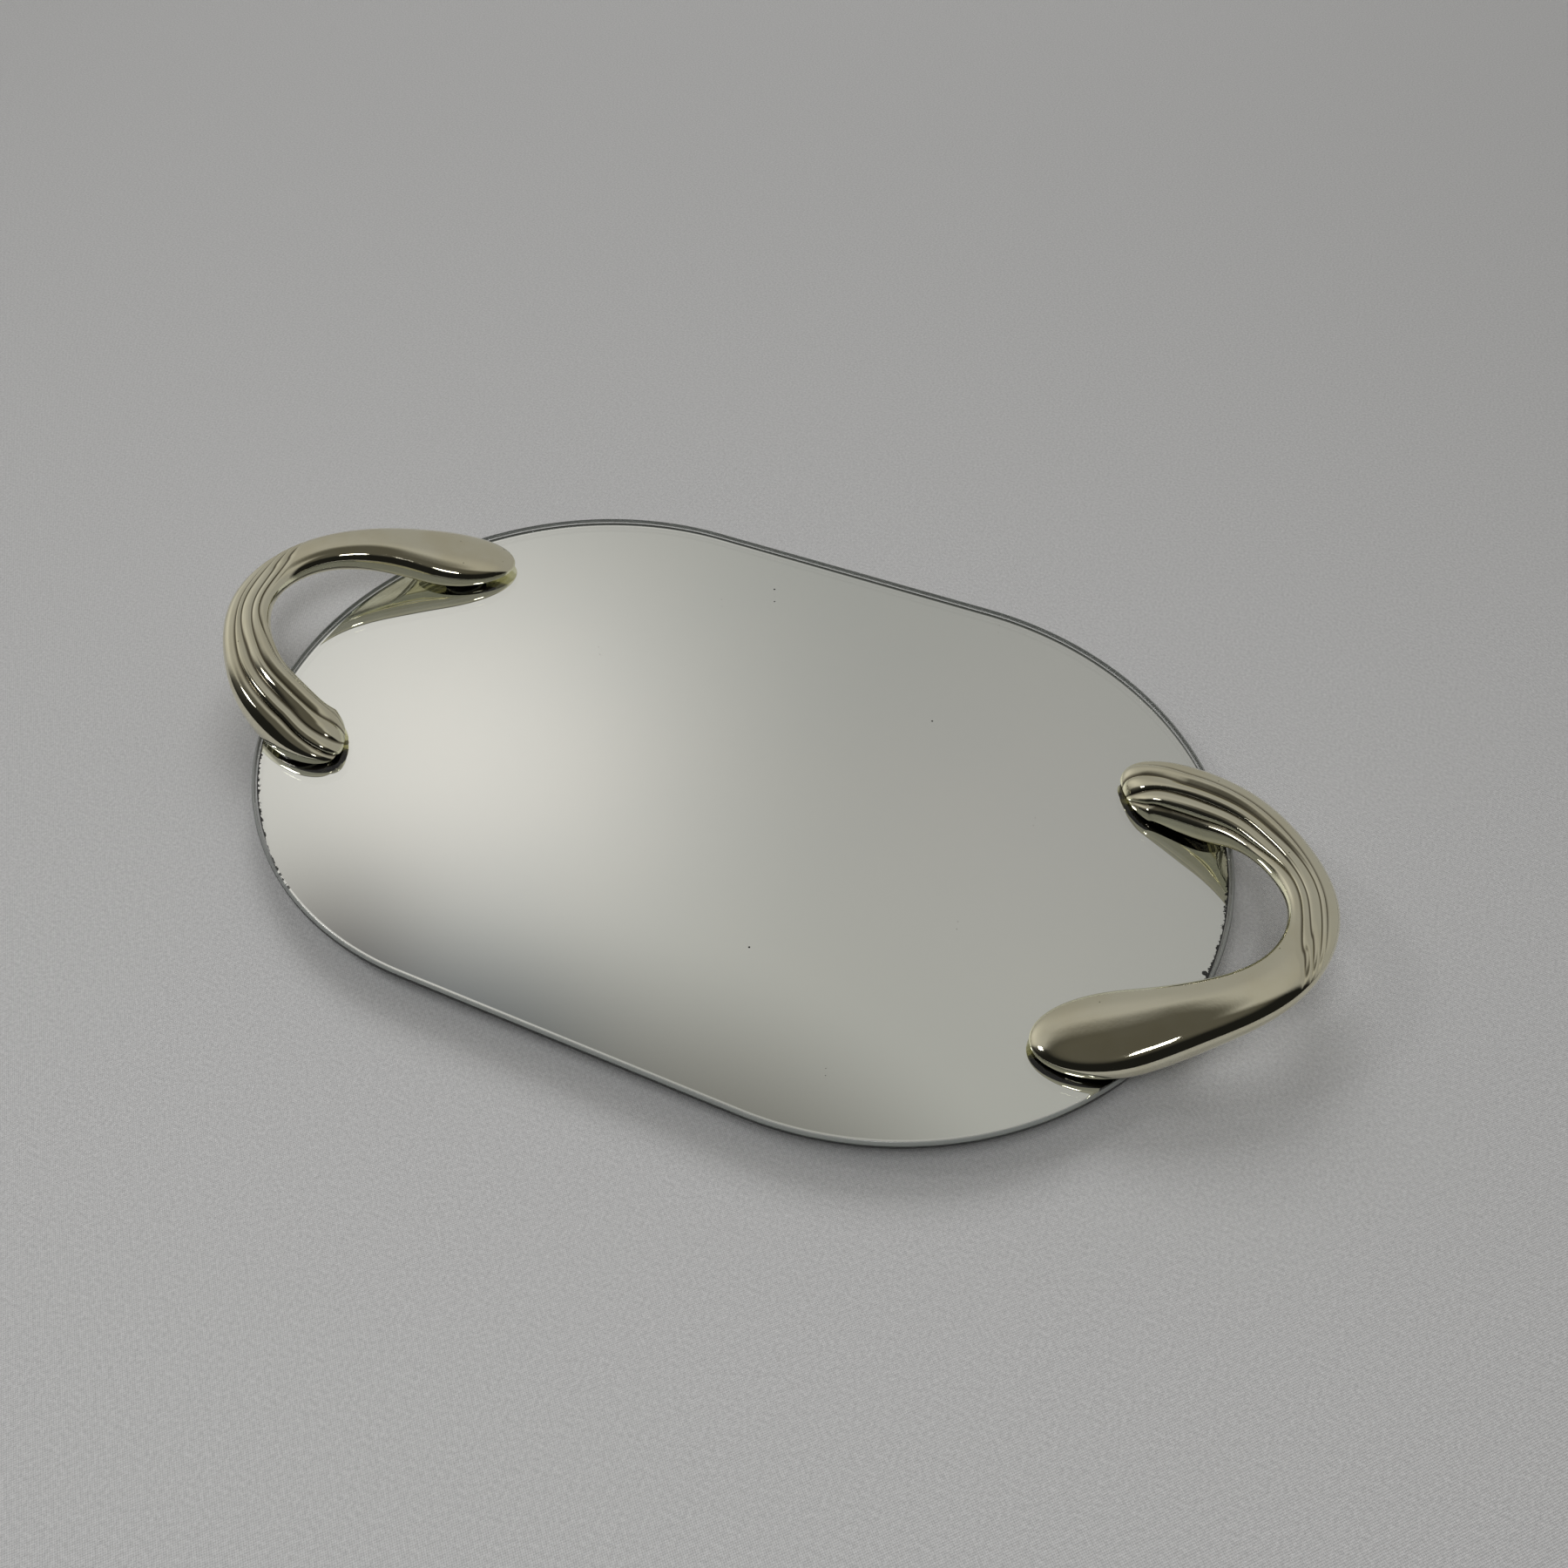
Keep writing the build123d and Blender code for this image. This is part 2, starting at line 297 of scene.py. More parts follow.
def champagne_plating():
    """Pale gold plating over a casting: near mirror bright, darker in the grooves, finely pitted."""
    material, graph = new_material("champagne_plating")
    place = graph.own_place()
    groove = graph.add("Attribute", attribute_name="groove").outputs["Fac"]
    cloud = graph.noise(place, size=18 * MM, detail=4.0)
    smudge = graph.noise(place, size=5 * MM, detail=5.0, roughness=0.65)
    pits = graph.specks(place, size=3.2 * MM, radius=0.22 * MM, share=0.22)
    # Darker and rougher towards the bottom of the grooves
    groove_bottom_share = graph.spread(groove, 0.5, 0.95, new_high=0.95)
    colour = graph.blend(graph.spread(cloud, 0.35, 0.7), PALE_GOLD, DEEP_GOLD)
    colour = graph.blend(groove_bottom_share, colour, GROOVE_BOTTOM_DARK)
    colour = graph.blend(pits, colour, PIT)
    roughness = graph.spread(smudge, 0.35, 0.75, new_low=0.025, new_high=0.07)
    roughness = graph.math("ADD", roughness, graph.math("MULTIPLY", groove_bottom_share, 0.15))
    normal = graph.bump(graph.noise(place, size=9 * MM, detail=1.0), distance=0.03 * MM)
    normal = graph.bump(graph.noise(place, size=0.9 * MM), distance=0.006 * MM, normal=normal)
    normal = graph.bump(graph.math("SUBTRACT", 1.0, pits), distance=0.10 * MM, normal=normal)
    graph.finish(graph.add("BsdfPrincipled", {
        "Base Color": colour,
        "Metallic": 1.0,
        "Roughness": roughness,
        "Normal": normal,
    }))
    return material


def mirror_glass_material():
    """Clear float glass with a ground edge and a little dust. Only the upward-facing part of the edge is
    frosted pale, as painted light, and the edge's dark tint is partly the glass's own colour and partly
    painted shade.
    """
    material, graph = new_material("mirror_glass")
    place = graph.own_place()
    facing_up = graph.add("SeparateXYZ", {0: graph.add("NewGeometry").outputs["True Normal"]}).outputs[2]
    edge = graph.spread(graph.math("ABSOLUTE", facing_up), 0.999, 0.9)
    # Frost only where the edge faces up: painted light on the top of the edge, with the lower part left
    # dark as painted shade
    painted_light_share = graph.math("MULTIPLY", edge, graph.spread(facing_up, 0.40, 0.60, new_high=0.5))
    grinding = graph.noise(place, size=0.8 * MM, detail=4.0)
    ground = graph.spread(grinding, 0.3, 0.7, new_low=0.05, new_high=0.22)
    glass = graph.add("BsdfPrincipled", {
        "Base Color": graph.blend(edge, CLEAR_GLASS, EDGE_GLASS_PAINTED_SHADE),
        "Roughness": graph.math("MULTIPLY", edge, ground),
        "IOR": GLASS_IOR,
        "Transmission Weight": 1.0,
        "Normal": graph.bump(graph.math("MULTIPLY", edge, grinding), distance=0.02 * MM),
    })
    frost = graph.add("BsdfDiffuse", {"Color": FROSTED_GLASS_PAINTED_LIGHT})
    dirt = graph.add("BsdfDiffuse", {"Color": GLASS_DUST})
    dust = graph.specks(place, size=9 * MM, radius=0.16 * MM, share=0.35)
    graph.finish(graph.mixed(dust, graph.mixed(painted_light_share, glass, frost), dirt))
    return material


def lost_from_ends(graph, plate, place, ragged):
    """1 where the silver is lost: a hair all round the plate's edge, and more along both ends."""
    x, y, _ = graph.add("SeparateXYZ", {0: place}).outputs[:]
    over = graph.math("SUBTRACT", graph.math("ABSOLUTE", x), plate.straight)
    over = graph.math("MAXIMUM", over, 0.0)
    from_axis = graph.vector("LENGTH", graph.add("CombineXYZ", {0: over, 1: y}).outputs[0])
    to_edge = graph.math("SUBTRACT", plate.radius - GLASS_EDGE_RADIUS, from_axis)
    outwards = graph.add("CombineXYZ", {0: graph.math("MULTIPLY", over, graph.math("SIGN", x)), 1: y})
    outwards = graph.vector("NORMALIZE", outwards.outputs[0])
    reach = graph.spread(ragged, 0.4, 0.65, new_high=0.25 * MM)
    for side, middle, half_span, depth in WORN_ENDS:
        direction = (side * math.cos(math.radians(middle)), math.sin(math.radians(middle)), 0.0)
        cosine = graph.vector("DOT_PRODUCT", outwards, direction)
        low, high = math.cos(math.radians(half_span)), math.cos(math.radians(0.5 * half_span))
        near = graph.spread(cosine, low, high)
        lost = graph.spread(ragged, 0.38, 0.66, new_low=0.25 * depth, new_high=depth)
        reach = graph.math("MAXIMUM", reach, graph.math("MULTIPLY", near, lost))
    return graph.math("LESS_THAN", to_edge, reach)


def silver_material(plate):
    """Silvering seen through the glass, black where it has been lost."""
    material, graph = new_material("silvering")
    place = graph.own_place()
    ragged = graph.noise(place, size=1.3 * MM, detail=5.0, roughness=0.7)
    worn = lost_from_ends(graph, plate, place, ragged)
    for spot_x, spot_y, radius in LOST_SPOTS:
        away = graph.vector("SUBTRACT", place, (spot_x * MM, spot_y * MM, 0.0))
        flat = graph.vector("MULTIPLY", away, (1.0, 1.0, 0.0))
        size = graph.math("MULTIPLY_ADD", ragged, 0.8 * radius * MM, 0.6 * radius * MM)
        inside = graph.math("LESS_THAN", graph.vector("LENGTH", flat), size)
        worn = graph.math("MAXIMUM", worn, inside)
    clouding = graph.spread(graph.noise(place, size=60 * MM), 0.3, 0.7)
    silver = graph.add("BsdfPrincipled", {
        "Base Color": graph.blend(clouding, SILVER, CLOUDED_SILVER),
        "Metallic": 1.0,
        "Roughness": 0.015,
    })
    black = graph.add("BsdfPrincipled", {"Base Color": LOST_SILVER, "Roughness": 0.6})
    graph.finish(graph.mixed(worn, silver, black))
    return material


def backing_paint_material():
    """Grey paint rolled on the back of the silver, with faded clouds and long scuffs."""
    material, graph = new_material("backing_paint")
    place = graph.own_place()
    cloud = graph.spread(graph.noise(place, size=45 * MM, detail=5.0), 0.3, 0.7)
    stretched = graph.vector("MULTIPLY", place, (1.0, 9.0, 1.0))
    scuffs = graph.spread(graph.noise(stretched, size=30 * MM, detail=6.0), 0.62, 0.70)
    colour = graph.blend(cloud, PAINT, FADED_PAINT)
    colour = graph.blend(graph.math("MULTIPLY", scuffs, 0.5), colour, SCUFFED_PAINT)
    roller = graph.noise(place, size=1.6 * MM, detail=4.0)
    graph.finish(graph.add("BsdfPrincipled", {
        "Base Color": colour,
        "Roughness": graph.spread(roller, 0.3, 0.7, new_low=0.55, new_high=0.75),
        "Normal": graph.bump(roller, distance=0.06 * MM),
    }))
    return material


def moulded_material(name, tones, roughness, grain_size, grain_height, coat=0.0):
    """Moulded rubber or plastic: two close tones, a fine grain and some dust."""
    material, graph = new_material(name)
    place = graph.own_place()
    cloud = graph.spread(graph.noise(place, size=6 * MM, detail=4.0), 0.3, 0.7)
    dust = graph.spread(graph.noise(place, size=0.7 * MM, detail=5.0), 0.60, 0.72, new_high=0.35)
    grain = graph.noise(place, size=grain_size, detail=4.0)
    graph.finish(graph.add("BsdfPrincipled", {
        "Base Color": graph.blend(dust, graph.blend(cloud, *tones), FIXING_DUST),
        "Roughness": graph.spread(grain, 0.3, 0.7, roughness - 0.08, roughness + 0.08),
        "Normal": graph.bump(grain, distance=grain_height),
        "Coat Weight": coat,
    }))
    return material


def zinc_material():
    """Zinc-plated steel, with turning marks and dull patches."""
    material, graph = new_material("zinc_steel")
    place = graph.own_place()
    patches = graph.noise(place, size=2.5 * MM, detail=5.0, roughness=0.65)
    patches = graph.spread(patches, 0.35, 0.65)
    stretched = graph.vector("MULTIPLY", place, (1.0, 1.0, 12.0))
    marks = graph.noise(stretched, size=0.8 * MM)
    graph.finish(graph.add("BsdfPrincipled", {
        "Base Color": graph.blend(patches, ZINC, DULL_ZINC),
        "Metallic": 1.0,
        "Roughness": graph.spread(patches, 0.0, 1.0, new_low=0.26, new_high=0.48),
        "Normal": graph.bump(marks, distance=0.015 * MM),
    }))
    return material


def cloth_floor_material():
    """Plain pale cloth with a fine weave. From below it is clear, and then lights the underside."""
    material, graph = new_material("cloth_floor")
    place = graph.own_place()
    x, y, _ = graph.add("SeparateXYZ", {0: place}).outputs[:]
    turns = 2.0 * math.pi / WEAVE_PITCH
    across = graph.math("SINE", graph.math("MULTIPLY", x, turns))
    along = graph.math("SINE", graph.math("MULTIPLY", y, turns))
    weave = graph.math("MULTIPLY", across, along)
    uneven = graph.noise(place, size=1.5 * MM, detail=5.0, roughness=0.7)
    height = graph.math("MULTIPLY_ADD", weave, 0.35, uneven)
    fibres = graph.noise(place, size=0.9 * MM, detail=4.0, roughness=0.7)
    tone = graph.spread(graph.math("MULTIPLY_ADD", weave, 0.12, fibres), 0.25, 0.75)
    cloth = graph.add("BsdfPrincipled", {
        "Base Color": graph.blend(tone, *CLOTH),
        "Roughness": 0.85,
        "Specular IOR Level": 0.15,
        "Normal": graph.bump(height, distance=0.12 * MM),
    })
    glow = graph.add("Emission", {"Color": (0.8, 0.8, 0.8), "Strength": UNDERSIDE_LIGHT})
    clear = graph.add("BsdfTransparent")
    path = graph.add("LightPath").outputs
    came_from_below = graph.math("GREATER_THAN", path["Transparent Depth"], 0.5)
    from_below = graph.add("NewGeometry").outputs["Backfacing"]
    graph.finish(graph.mixed(from_below, graph.mixed(came_from_below, cloth, glow), clear))
    material.cycles.emission_sampling = "NONE"
    return material


# --------------------------------------------------------------- mesh helpers


def add_piece(name, mesh, material, stands_for):
    """Puts a mesh in the scene in place of a CAD node."""
    piece = bpy.data.objects.new(name, mesh)
    bpy.context.scene.collection.objects.link(piece)
    mesh.materials.append(material)
    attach(piece, "root")
    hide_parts(stands_for)
    return piece


def box_middle(node):
    """Middle of a CAD node's box."""
    low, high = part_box(node)
    return (low + high) / 2


def ring_faces(first, second):
    """Faces between two closed rings of vertex numbers."""
    count = len(first)
    return [(first[i], first[(i + 1) % count], second[(i + 1) % count], second[i]) for i in range(count)]


def circle_points(middle, radius, height, steps):
    """Points round a level circle."""
    points = []
    for step in range(steps):
        turn = 2 * math.pi * step / steps
        points.append((middle.x + radius * math.cos(turn), middle.y + radius * math.sin(turn), height))
    return points


def add_circle(bm, middle, radius, height):
    """Adds a level circle of edges and returns its vertices."""
    verts = [bm.verts.new(point) for point in circle_points(middle, radius, height, HOLE_STEPS)]
    for first, second in zip(verts, verts[1:] + verts[:1]):
        bm.edges.new((first, second))
    return verts


def add_wall(bm, lower, upper):
    """Adds smooth faces between two rings of vertices."""
    for face in ring_faces(lower, upper):
        bm.faces.new(face).smooth = True


def edges_of(bm, verts):
    """Edges round a closed ring of vertices."""
    return [bm.edges.get(pair) for pair in zip(verts, verts[1:] + verts[:1])]


def sharpen_flat_borders(bm):
    """Marks the edges between flat and smooth faces as sharp."""
    for edge in bm.edges:
        if len({face.smooth for face in edge.link_faces}) > 1:
            edge.smooth = False


# --------------------------------------------------------------- mirror plate


class Plate:
    """Outline of the plate: two half circles joined by straight sides, from the CAD's box."""

    def __init__(self):
        low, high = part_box("mirror_glass")
        self.bottom = low.z
        self.top = high.z
        self.radius = high.y
        self.straight = high.x - high.y
        places = ("back_right", "front_right", "front_left", "back_left")
        self.holes = [box_middle(f"sleeve_{place}") for place in places]
        low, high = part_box("sleeve_back_right")
        self.hole_radius = (high.x - low.x) / 2 + SLEEVE_PLAY

    def ring(self, bm, inset, height):
        """Adds the outline, moved inwards by an inset, at a height."""
        verts = []
        for side in (1, -1):
            for step in range(ARC_STEPS + 1):
                turn = math.pi * (step / ARC_STEPS - 0.5)
                x = side * (self.straight + (self.radius - inset) * math.cos(turn))
                y = side * (self.radius - inset) * math.sin(turn)
                verts.append(bm.verts.new((x, y, height)))
        return verts


def plate_mesh(name, plate, profile):
    """A plate with drilled holes. The profile gives the inset and height round its edge, top first."""
    bm = bmesh.new()
    rings = [plate.ring(bm, inset, height) for inset, height in profile]
    for upper, lower in zip(rings, rings[1:]):
        add_wall(bm, lower, upper)
    levels = (profile[0][1], profile[-1][1])
    circles = [[add_circle(bm, hole, plate.hole_radius, level) for hole in plate.holes] for level in levels]
    for upper, lower in zip(*circles):
        add_wall(bm, upper, lower)
    for ring, holes, up in ((rings[0], circles[0], 1), (rings[-1], circles[1], -1)):
        edges = edges_of(bm, ring) + [edge for verts in holes for edge in edges_of(bm, verts)]
        bmesh.ops.triangle_fill(bm, edges=edges, use_beauty=True, normal=(0, 0, up))
    bmesh.ops.recalc_face_normals(bm, faces=bm.faces)
    sharpen_flat_borders(bm)
    mesh = bpy.data.meshes.new(name)
    bm.to_mesh(mesh)
    bm.free()
    return mesh


def ground_edge(plate):
    """Profile of the glass: its edge is ground to a half round."""
    profile = []
    for step in range(EDGE_STEPS + 1):
        turn = 0.5 * math.pi * step / EDGE_STEPS
        rise = GLASS_EDGE_RADIUS * (1 - math.cos(turn))
        inset = GLASS_EDGE_RADIUS * (1 - math.sin(turn))
        profile.append((inset, plate.top - rise))
    return profile + [(inset, plate.bottom + plate.top - height) for inset, height in reversed(profile)]


def layer_profile(node, raise_top=0.0):
    """Profile of a thin layer on the flat back of the glass."""
    low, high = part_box(node)
    return [(GLASS_EDGE_RADIUS, high.z + raise_top), (GLASS_EDGE_RADIUS, low.z)]


def build_mirror():
    """Glass, silver and paint."""
    plate = Plate()
    add_piece("mirror_glass_plate", plate_mesh("mirror_glass_plate", plate, ground_edge(plate)),
              mirror_glass_material(), "mirror_glass")
    silver = plate_mesh("silver_layer", plate, layer_profile("mirror_silvering", SILVER_BOND))
    add_piece("silver_layer", silver, silver_material(plate), "mirror_silvering")
    paint = plate_mesh("backing_paint_layer", plate, layer_profile("mirror_backing_paint"))
    add_piece("backing_paint_layer", paint, backing_paint_material(), "mirror_backing_paint")


# -------------------------------------------------------------------- handles


def smooth_step(values, low, high):
    """0 below low, 1 above high and a smooth rise between them."""
    share = np.clip((values - low) / (high - low), 0.0, 1.0)
    return share * share * (3.0 - 2.0 * share)


def steered(positions):
    """Middle, half width and half height of the handle at station positions (cubic B-spline)."""
    rows = np.array(HANDLE_STATIONS) * MM
    rows = np.vstack([2 * rows[0] - rows[1], rows, 2 * rows[-1] - rows[-2]])
    first = np.minimum(positions.astype(int), LAST_STATION - 1)
    t = (positions - first)[:, None]
    weights = ((1 - t) ** 3, 3 * t**3 - 6 * t**2 + 4, -3 * t**3 + 3 * t**2 + 3 * t + 1, t**3)
    values = sum(weight * rows[first + offset] for offset, weight in enumerate(weights)) / 6
    return values[:, :3], values[:, 3], values[:, 4]


def tip_rounding(positions):
    """1 along the handle, falling to 0 at both tips so that they end round."""
    from_ribbed = positions / RIBBED_TIP_ROUNDING
    from_smooth = (LAST_STATION - positions) / SMOOTH_TIP_ROUNDING
    share = np.minimum(1.0, np.minimum(from_ribbed, from_smooth))
    return np.sqrt(1.0 - (1.0 - share) ** TIP_BLUNTNESS)


def groove_angles(positions):
    """Angles of the grooves round the arm, one column each."""
    tip = np.clip(1.0 - positions / GROOVE_TIP, 0.0, 1.0) ** GROOVE_TIP_EASE
    neck = smooth_step(positions, *GROOVE_NECK)
    columns = []
    for tip_angle, foot_angle, neck_angle, end in GROOVES:
        angle = foot_angle + (tip_angle - foot_angle) * tip + (neck_angle - foot_angle) * neck
        swept = np.clip((positions - GROOVE_SWEEP_START) / (end - GROOVE_SWEEP_START), 0.0, 1.0)
        columns.append(angle - (angle - GROOVE_SWEEP_ANGLE) * swept**GROOVE_SWEEP_EASE)
    return np.stack(columns, axis=1)


def groove_cut(positions, angles):
    """Depth of the grooves as a share of the arm's size, for a grid of positions and angles."""
    middles = groove_angles(positions)
    depth = np.zeros(angles.shape)
    for index, (*_, end) in enumerate(GROOVES):
        middle = middles[:, index, None]
        reaches = []
        for neighbour in (index - 1, index + 1):
            if 0 <= neighbour < len(GROOVES):
                reaches.append(np.maximum(np.abs(middles[:, neighbour, None] - middle) / 2, 1.0))
            else:
                reaches.append(GROOVE_REACH)
        reach = np.where(angles < middle, *reaches)
        share = np.minimum(np.abs(angles - middle) / reach, 1.0)
        fade = 1.0 - smooth_step(positions, end - GROOVE_FADE, end)[:, None]
        depth = np.maximum(depth, GROOVE_DEPTH * fade * (1.0 - np.sin(share * np.pi / 2)))
    return depth


def mesh_positions():
    """Stations of the mesh's rings: close together where a tip rounds off."""
    turns = np.linspace(0.0, np.pi / 2, TIP_STEPS + 1)[1:]
    shares = 1.0 - np.cos(turns[:-1]) ** (2.0 / TIP_BLUNTNESS)
    ribbed = RIBBED_TIP_ROUNDING * shares
    smooth = LAST_STATION - SMOOTH_TIP_ROUNDING * shares[::-1]
    arm = np.linspace(RIBBED_TIP_ROUNDING, LAST_STATION - SMOOTH_TIP_ROUNDING, ARM_STEPS)
    return np.concatenate([ribbed, arm, smooth])


def mesh_angles(positions):
    """Angles of the mesh's points, one row for each ring, with one point in every groove."""
    keys = groove_angles(positions)
    for column in range(1, keys.shape[1]):
        keys[:, column] = np.maximum(keys[:, column], keys[:, column - 1] + FACE_GAP)
    starts = np.column_stack([np.zeros(len(positions)), keys])
    ends = np.column_stack([keys, np.full(len(positions), 360.0)])
    columns = []
    for face, steps in enumerate(FACE_STEPS):
        share = np.arange(steps) / steps
        columns.append(starts[:, face, None] + (ends - starts)[:, face, None] * share)
    return np.concatenate(columns, axis=1)


def squared(values):
    """Cosines or sines, pushed outwards so that the arm's outline is a little square."""
    return np.sign(values) * np.abs(values) ** (2.0 / SECTION_SQUARENESS)


def handle_surface():
    """Points, faces and groove depths of the whole handle, before it is cut flat underneath."""
    positions = mesh_positions()
    middles, half_widths, half_heights = steered(positions)
    ahead = steered(np.minimum(positions + SLOPE_STEP, LAST_STATION))[0]
    behind = steered(np.maximum(positions - SLOPE_STEP, 0.0))[0]
    along = ahead - behind
    along /= np.linalg.norm(along, axis=1)[:, None]
    outwards = np.column_stack([-along[:, 1], along[:, 0], np.zeros(len(along))])
    outwards /= np.linalg.norm(outwards, axis=1)[:, None]
    upwards = np.cross(along, outwards)
    angles = mesh_angles(positions)
    cut = groove_cut(positions, angles)
    size = tip_rounding(positions)[:, None] * (1.0 - cut)
    across = half_widths[:, None] * size * squared(np.cos(np.radians(angles)))
    above = half_heights[:, None] * size * squared(np.sin(np.radians(angles)))
    points = middles[:, None] + across[..., None] * outwards[:, None] + above[..., None] * upwards[:, None]
    tips = steered(np.array([0.0, float(LAST_STATION)]))[0]
    vertices = np.vstack([points.reshape(-1, 3), tips])
    ring_count, ring_size = angles.shape
    rings = np.arange(ring_count * ring_size).reshape(ring_count, ring_size)
    faces = []
    for first, second in zip(rings, rings[1:]):
        faces += ring_faces(first.tolist(), second.tolist())
    for ring, tip in ((rings[0][::-1], len(vertices) - 2), (rings[-1], len(vertices) - 1)):
        ring = ring.tolist()
        faces += [(a, b, tip) for a, b in zip(ring, ring[1:] + ring[:1])]
    depths = np.append(cut.ravel() / GROOVE_DEPTH, (0.0, 0.0))
    return vertices, faces, depths


def handle_mesh(screw_reach):
    """The handle, cut flat underneath, with a tapped hole in each foot."""
    vertices, faces, depths = handle_surface()
    mesh = bpy.data.meshes.new("handle")
    mesh.from_pydata(vertices.tolist(), [], faces)
    groove = mesh.attributes.new("groove", "FLOAT", "POINT")
    groove.data.foreach_set("value", depths.astype(np.float32))
    bm = bmesh.new()
    bm.from_mesh(mesh)
    for face in bm.faces:
        face.smooth = True
    everything = bm.verts[:] + bm.edges[:] + bm.faces[:]
    bmesh.ops.bisect_plane(bm, geom=everything, dist=CUT_NEARNESS, plane_co=(0, 0, 0),
                           plane_no=(0, 0, 1), clear_inner=True)
    rim = [vert for vert in bm.verts if vert.is_boundary]
    bmesh.ops.remove_doubles(bm, verts=rim, dist=RIM_NEARNESS)
    edges = [edge for edge in bm.edges if edge.is_boundary]
    for end in (1, -1):
        middle = Vector((0, end * screw_reach, 0))
        mouth = add_circle(bm, middle, SCREW_HOLE_RADIUS, 0)
        edges += edges_of(bm, mouth)
        bottom = add_circle(bm, middle, SCREW_HOLE_RADIUS, SCREW_HOLE_DEPTH)
        add_wall(bm, mouth, bottom)
        bm.faces.new(bottom)
    bmesh.ops.triangle_fill(bm, edges=edges, use_beauty=True, normal=(0, 0, -1))
    bmesh.ops.recalc_face_normals(bm, faces=bm.faces)
    sharpen_flat_borders(bm)
    bm.to_mesh(mesh)
    bm.free()
    return mesh


def build_handle(name, smooth_end, ribbed_end, material):
    """Places a handle on the gaskets of its two screws."""
    ends = []
    for end in (smooth_end, ribbed_end):
        _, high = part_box(f"gasket_{end}")
        middle = box_middle(f"gasket_{end}")
        ends.append(Vector((middle.x, middle.y, high.z)))
    smooth, ribbed = ends
    y_axis = (ribbed - smooth).normalized()
    z_axis = Vector((0, 0, 1))
    axes = Matrix((y_axis.cross(z_axis), y_axis, z_axis)).transposed().to_4x4()
    place = Matrix.Translation((smooth + ribbed) / 2) @ axes
    mesh = handle_mesh((ribbed - smooth).length / 2)
    mesh.transform(place)
    add_piece(f"{name}_casting", mesh, material, name)


# ------------------------------------------------------------ kept CAD pieces


def dress_fixings():
    """Gives the feet, sleeves, gaskets and screws their materials."""
    rubber = moulded_material("foot_rubber", RUBBER, roughness=0.62,
                              grain_size=0.35 * MM, grain_height=0.02 * MM)
    nylon = moulded_material("sleeve_nylon", NYLON, roughness=0.45,
                             grain_size=0.5 * MM, grain_height=0.008 * MM)
    vinyl = moulded_material("gasket_vinyl", VINYL, roughness=0.32,
                             grain_size=0.8 * MM, grain_height=0.006 * MM, coat=0.3)
    zinc = zinc_material()
    by_start = {"foot": rubber, "sleeve": nylon, "gasket": vinyl, "screw": zinc, "handle_screws": zinc}
    for name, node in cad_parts.items():
        for start, material in by_start.items():
            if name.startswith(start):
                node.data.materials.clear()
                node.data.materials.append(material)


# ------------------------------------------------------- floor, light, camera


def sky_direction(azimuth, elevation):
    """Direction at an azimuth from the back towards the left, and an elevation, in degrees."""
    turn, lift = math.radians(azimuth), math.radians(elevation)
    return Vector((-math.sin(turn) * math.cos(lift), math.cos(turn) * math.cos(lift), math.sin(lift)))


def build_floor():
    """Plain pale floor under the tray."""
    mesh = bpy.data.meshes.new("floor")
    bm = bmesh.new()
    bmesh.ops.create_grid(bm, x_segments=1, y_segments=1, size=FLOOR_SIZE)
    bm.to_mesh(mesh)
    bm.free()
    mesh.materials.append(cloth_floor_material())
    floor = bpy.data.objects.new("floor", mesh)
    bpy.context.scene.collection.objects.link(floor)
    floor.location.z = -FLOOR_DROP


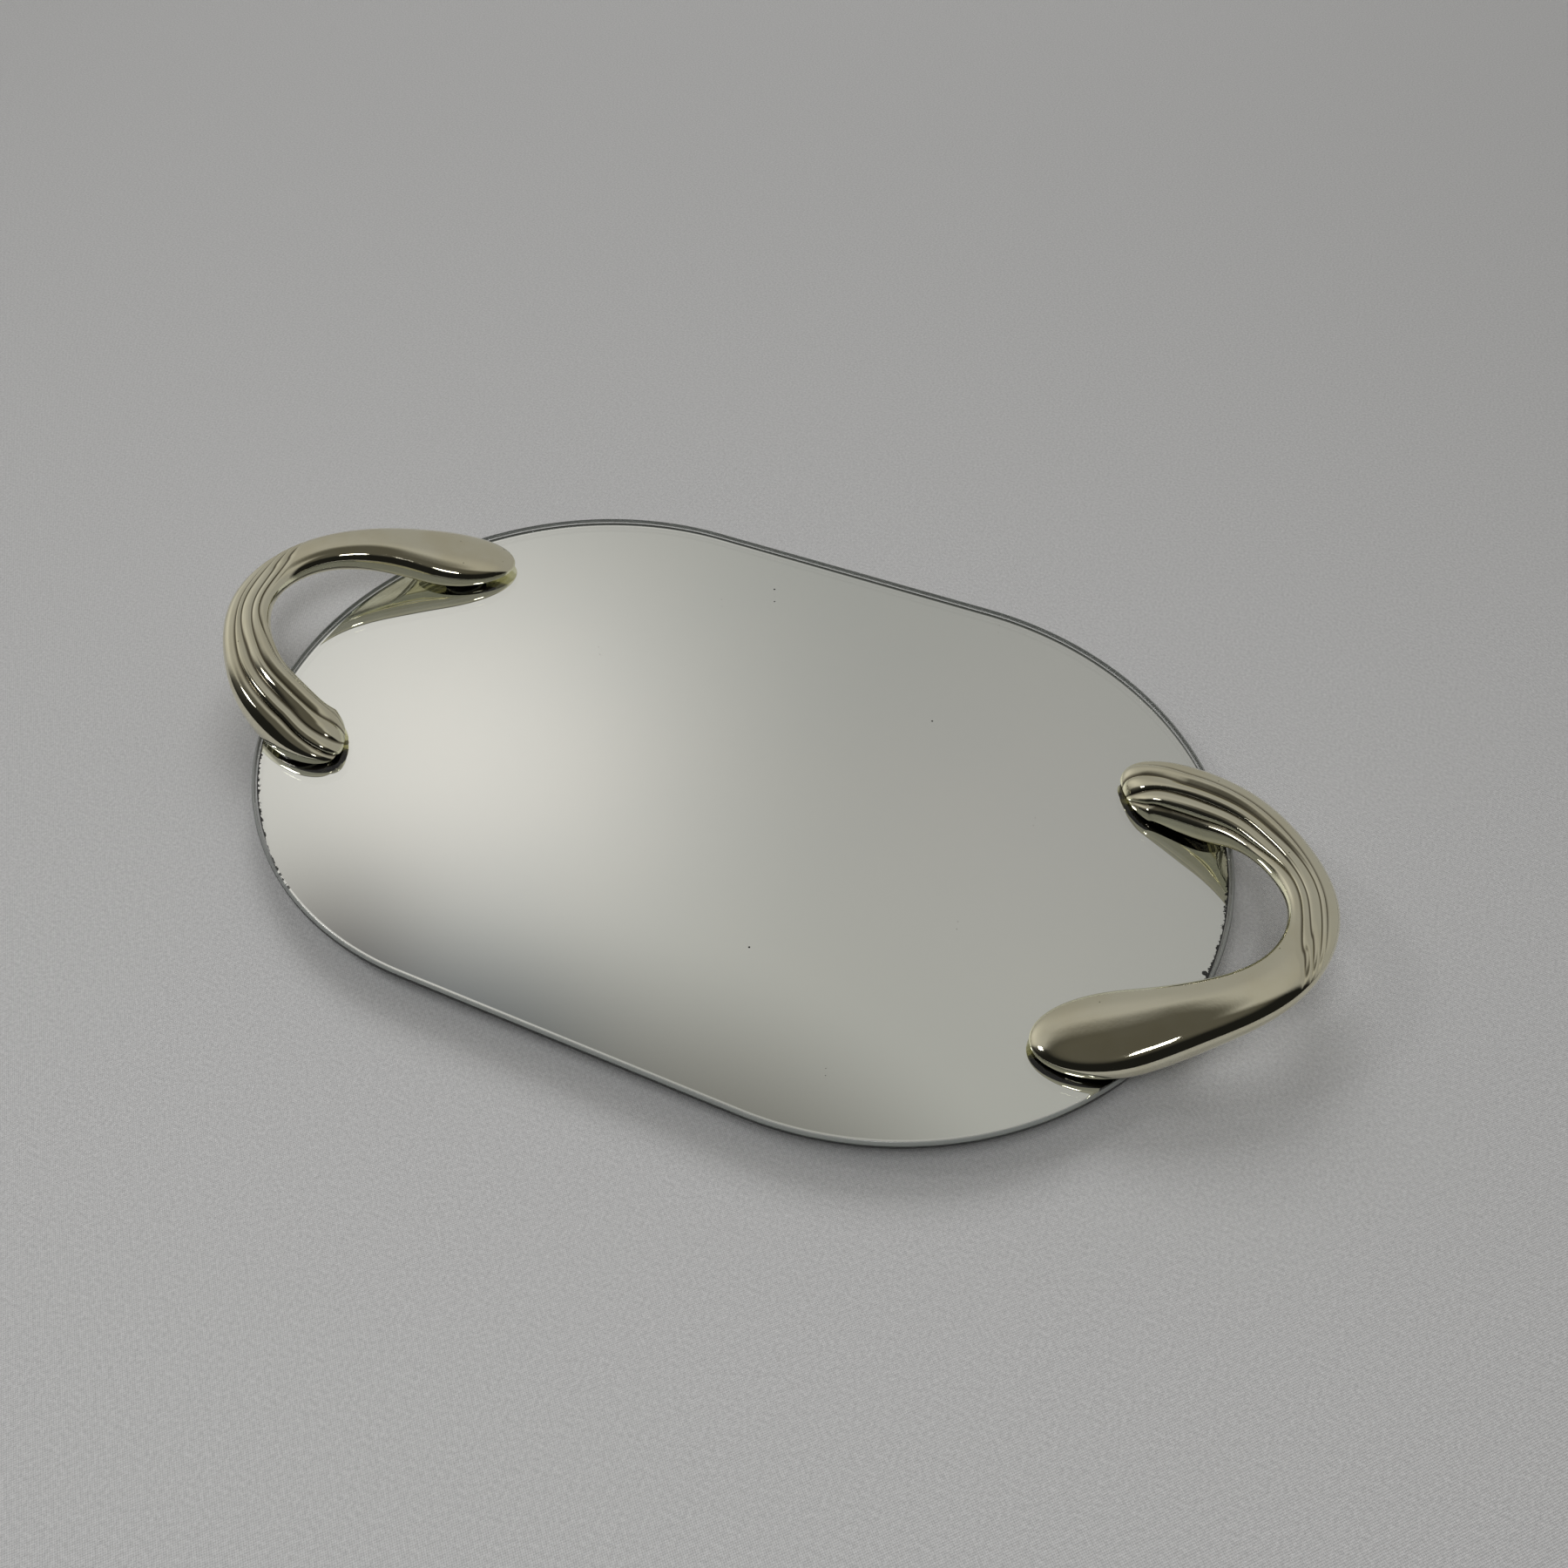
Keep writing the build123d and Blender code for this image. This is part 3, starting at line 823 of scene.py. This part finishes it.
def build_world():
    """The studio surroundings, by direction."""
    world = bpy.data.worlds.new("studio")
    bpy.context.scene.world = world
    world.use_nodes = True
    graph = Graph(world.node_tree)
    direction = graph.add("TexCoord").outputs["Generated"]
    up = graph.add("SeparateXYZ", {0: direction}).outputs[2]
    facing = graph.vector("DOT_PRODUCT", direction, tuple(sky_direction(WALL_MIDDLE, 0)))
    height = graph.vector("DOT_PRODUCT", direction, WALL_SLOPE)
    wall = graph.math("MULTIPLY", graph.spread(facing, *WALL_REACH), graph.spread(height, *WALL_HEIGHT))
    room = graph.blend(graph.spread(up, *ROOM_HEIGHT), ROOM_TONE, CEILING_TONE)
    total = graph.vector("ADD", room, graph.scaled(WALL_TONE, wall))
    path = graph.add("LightPath").outputs
    in_plate = graph.math("MINIMUM", path["Transmission Depth"], 1.0)
    away = graph.vector("DOT_PRODUCT", direction, tuple(sky_direction(*SEEN_FROM)))
    beside = graph.math("MULTIPLY", in_plate, graph.spread(away, *SEEN_REACH))
    total = graph.vector("ADD", total, graph.scaled(SIDE_TONE, beside))
    for azimuth, elevation, spread, tone, in_handles in PATCHES:
        sharpness = 1.0 / math.radians(spread) ** 2
        cosine = graph.vector("DOT_PRODUCT", direction, tuple(sky_direction(azimuth, elevation)))
        patch = graph.math("EXPONENT", graph.math("MULTIPLY_ADD", cosine, sharpness, -sharpness))
        patch = graph.math("MULTIPLY", patch, graph.spread(in_plate, 0.0, 1.0, in_handles, 1.0))
        total = graph.vector("ADD", total, graph.scaled(tone, patch))
    total = graph.blend(path["Is Camera Ray"], total, BACKDROP_TONE)
    graph.finish(graph.add("Background", {"Color": total}), "OutputWorld")


def add_lamp(name, azimuth, elevation, distance, width, height, power, mirrored=True):
    """A rectangular soft box that points at the tray."""
    data = bpy.data.lights.new(name, "AREA")
    data.shape = "RECTANGLE"
    data.size = width
    data.size_y = height
    data.energy = power
    lamp = bpy.data.objects.new(name, data)
    bpy.context.scene.collection.objects.link(lamp)
    away = sky_direction(azimuth, elevation)
    lamp.location = away * distance
    lamp.rotation_euler = away.to_track_quat("Z", "Y").to_euler()
    lamp.visible_glossy = mirrored
    lamp.visible_transmission = mirrored
    lamp.visible_camera = mirrored


def build_lights():
    """Small soft boxes that show in the plating, and broad ones that don't."""
    for index, lamp in enumerate(LAMPS):
        add_lamp(f"soft_box_{index + 1}", *lamp)
    for index, lamp in enumerate(BROAD_LAMPS):
        add_lamp(f"broad_box_{index + 1}", *lamp, mirrored=False)


def build_camera():
    """Camera at the photograph's viewing angle."""
    data = bpy.data.cameras.new("camera")
    data.lens = CAMERA_LENS
    data.sensor_width = CAMERA_SENSOR
    data.clip_start = CAMERA_CLIP
    camera = bpy.data.objects.new("camera", data)
    bpy.context.scene.collection.objects.link(camera)
    camera.location = CAMERA_PLACE
    aim = (CAMERA_TARGET - CAMERA_PLACE).to_track_quat("-Z", "Y")
    camera.rotation_euler = (aim @ Quaternion((0, 0, 1), CAMERA_ROLL)).to_euler()
    bpy.context.scene.camera = camera


# ---------------------------------------------------------------------- build

build_world()
build_mirror()
plating = champagne_plating()
build_handle("right_handle", "front_right", "back_right", plating)
build_handle("left_handle", "back_left", "front_left", plating)
dress_fixings()
build_floor()
build_lights()
build_camera()

scene = bpy.context.scene
scene.view_settings.view_transform = "Standard"
scene.view_settings.look = "None"
scene.cycles.max_bounces = 16
scene.cycles.glossy_bounces = 10
scene.cycles.transmission_bounces = 14
scene.cycles.use_denoising = True
